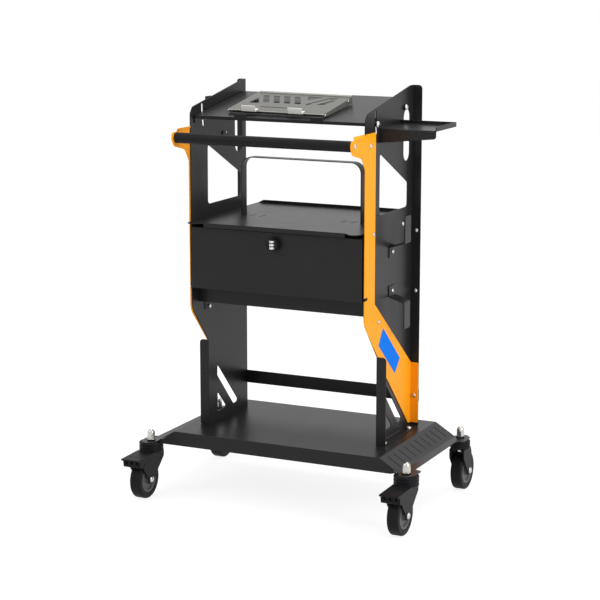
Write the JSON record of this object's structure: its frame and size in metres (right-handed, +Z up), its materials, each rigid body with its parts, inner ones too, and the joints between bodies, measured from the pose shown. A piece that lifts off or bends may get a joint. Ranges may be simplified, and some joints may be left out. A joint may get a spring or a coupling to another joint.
{
  "type": "diagnostic tool cart",
  "caption": "Mobile workshop cart of folded sheet steel with a lockable storage box, tilting top shelf, tablet stand, push handle, side tray and braked swivel casters.",
  "frame": {"origin": "on the floor, midway between the sides and midway between the front and back caster stems", "axes": "+Z up, +Y to the back of the cart, +X to the right side that carries the tray"},
  "size_m": [0.7646, 0.544, 1.043],
  "materials": {
    "black_coat": "satin powder coat",
    "orange_coat": "satin powder coat",
    "grey_coat": "satin powder coat",
    "zinc_screws": "bright zinc plate",
    "hook_plastic": "matte",
    "black_plastic": "matte",
    "black_rubber": "matte",
    "grey_rubber": "matte",
    "dial_white": "gloss",
    "label_blue": "satin film"
  },
  "bodies": {
    "frame": {"base_deck": "black_coat", "left_side": "black_coat", "right_side": "black_coat", "left_cover_plate": "orange_coat", "right_cover_plate": "orange_coat", "label_plate": "label_blue", "push_handle": "black_rubber", "handle_end_plugs": "black_plastic", "handle_screws": "zinc_screws", "rear_cross_bar": "black_coat", "storage_box": "black_coat", "box_top_plate": "black_coat", "strike_lip": "black_coat", "device_hoop": "black_coat", "upper_cord_hook": "black_coat", "lower_cord_hook": "black_coat", "side_tray": "black_coat", "left_cable_clip": "black_plastic", "box_screws": "zinc_screws", "flange_screws": "zinc_screws", "foot_bolts": "zinc_screws", "accessory_screws": "zinc_screws", "door_hinge_pins": "black_plastic", "caster_stems": "zinc_screws", "caster_cap_nuts": "zinc_screws"},
    "door": {"box_door": "black_coat", "lock_collar": "black_plastic", "lock_nut": "zinc_screws"},
    "knob": {"lock_knob": "black_plastic", "lock_cam": "zinc_screws"},
    "dial_top": {"lock_dial_top": "dial_white"},
    "dial_middle": {"lock_dial_middle": "dial_white"},
    "dial_bottom": {"lock_dial_bottom": "dial_white"},
    "shelf": {"top_shelf": "black_coat", "shelf_screws": "zinc_screws", "shelf_spacers": "black_plastic", "stand_base": "grey_coat", "stand_hinge_pins": "zinc_screws"},
    "stand": {"stand_plate": "grey_coat", "stand_hooks": "hook_plastic", "prop_pins": "zinc_screws"},
    "prop": {"stand_prop": "grey_coat"},
    "fork_front_left": {"fork_front_left": "black_plastic", "axle_front_left": "zinc_screws"},
    "wheel_front_left": {"wheel_front_left": "black_plastic", "tyre_front_left": "grey_rubber"},
    "fork_back_left": {"fork_back_left": "black_plastic", "axle_back_left": "zinc_screws"},
    "wheel_back_left": {"wheel_back_left": "black_plastic", "tyre_back_left": "grey_rubber"},
    "pedal_left": {"brake_pedal_left": "black_plastic"},
    "fork_front_right": {"fork_front_right": "black_plastic", "axle_front_right": "zinc_screws"},
    "wheel_front_right": {"wheel_front_right": "black_plastic", "tyre_front_right": "grey_rubber"},
    "fork_back_right": {"fork_back_right": "black_plastic", "axle_back_right": "zinc_screws"},
    "wheel_back_right": {"wheel_back_right": "black_plastic", "tyre_back_right": "grey_rubber"},
    "pedal_right": {"brake_pedal_right": "black_plastic"}
  },
  "joints": [
    {"name": "door_hinge", "type": "hinge", "parent": "frame", "child": "door", "pos_m": [0, -0.172, 0.553], "axis": [1, 0, 0], "range_deg": [0, 90]},
    {"name": "lock_turn", "type": "hinge", "parent": "door", "child": "knob", "pos_m": [0, -0.19, 0.6725], "axis": [0, -1, 0], "range_deg": [0, 90]},
    {"name": "dial_top_turn", "type": "hinge", "parent": "knob", "child": "dial_top", "pos_m": [0, -0.1929, 0.6802], "axis": [0, 0, 1], "continuous": true},
    {"name": "dial_middle_turn", "type": "hinge", "parent": "knob", "child": "dial_middle", "pos_m": [0, -0.1929, 0.6725], "axis": [0, 0, 1], "continuous": true},
    {"name": "dial_bottom_turn", "type": "hinge", "parent": "knob", "child": "dial_bottom", "pos_m": [0, -0.1929, 0.6648], "axis": [0, 0, 1], "continuous": true},
    {"name": "shelf_tilt", "type": "hinge", "parent": "frame", "child": "shelf", "pos_m": [0, 0.066, 0.992], "axis": [1, 0, 0], "range_deg": [-9, 6.5]},
    {"name": "stand_lift", "type": "hinge", "parent": "shelf", "child": "stand", "pos_m": [-0.0225, -0.12232, 0.9838], "axis": [0.999, -0.0432, -0.0064], "range_deg": [0, 30]},
    {"name": "prop_swing", "type": "hinge", "parent": "stand", "child": "prop", "pos_m": [-0.0171, -0.00084, 1.00808], "axis": [0.999, -0.0432, -0.0064], "range_deg": [0, 11.4]},
    {"name": "swivel_front_left", "type": "hinge", "parent": "frame", "child": "fork_front_left", "pos_m": [-0.3513, -0.183, 0.125], "axis": [0, 0, 1], "continuous": true},
    {"name": "roll_front_left", "type": "hinge", "parent": "fork_front_left", "child": "wheel_front_left", "pos_m": [-0.3513, -0.221, 0.05], "axis": [1, 0, 0], "continuous": true},
    {"name": "swivel_back_left", "type": "hinge", "parent": "frame", "child": "fork_back_left", "pos_m": [-0.3513, 0.183, 0.125], "axis": [0, 0, 1], "continuous": true},
    {"name": "roll_back_left", "type": "hinge", "parent": "fork_back_left", "child": "wheel_back_left", "pos_m": [-0.3513, 0.201, 0.05], "axis": [1, 0, 0], "continuous": true},
    {"name": "brake_left", "type": "hinge", "parent": "fork_front_left", "child": "pedal_left", "pos_m": [-0.3513, -0.227, 0.105], "axis": [1, 0, 0], "range_deg": [0, 6.5]},
    {"name": "swivel_front_right", "type": "hinge", "parent": "frame", "child": "fork_front_right", "pos_m": [0.3513, -0.183, 0.125], "axis": [0, 0, 1], "continuous": true},
    {"name": "roll_front_right", "type": "hinge", "parent": "fork_front_right", "child": "wheel_front_right", "pos_m": [0.3513, -0.221, 0.05], "axis": [1, 0, 0], "continuous": true},
    {"name": "swivel_back_right", "type": "hinge", "parent": "frame", "child": "fork_back_right", "pos_m": [0.3513, 0.183, 0.125], "axis": [0, 0, 1], "continuous": true},
    {"name": "roll_back_right", "type": "hinge", "parent": "fork_back_right", "child": "wheel_back_right", "pos_m": [0.3513, 0.201, 0.05], "axis": [1, 0, 0], "continuous": true},
    {"name": "brake_right", "type": "hinge", "parent": "fork_front_right", "child": "pedal_right", "pos_m": [0.3513, -0.227, 0.105], "axis": [1, 0, 0], "range_deg": [0, 6.5]}
  ],
  "couplings": [
    {"joint": "prop_swing", "follows": "stand_lift", "ratio": 0.38}
  ]
}
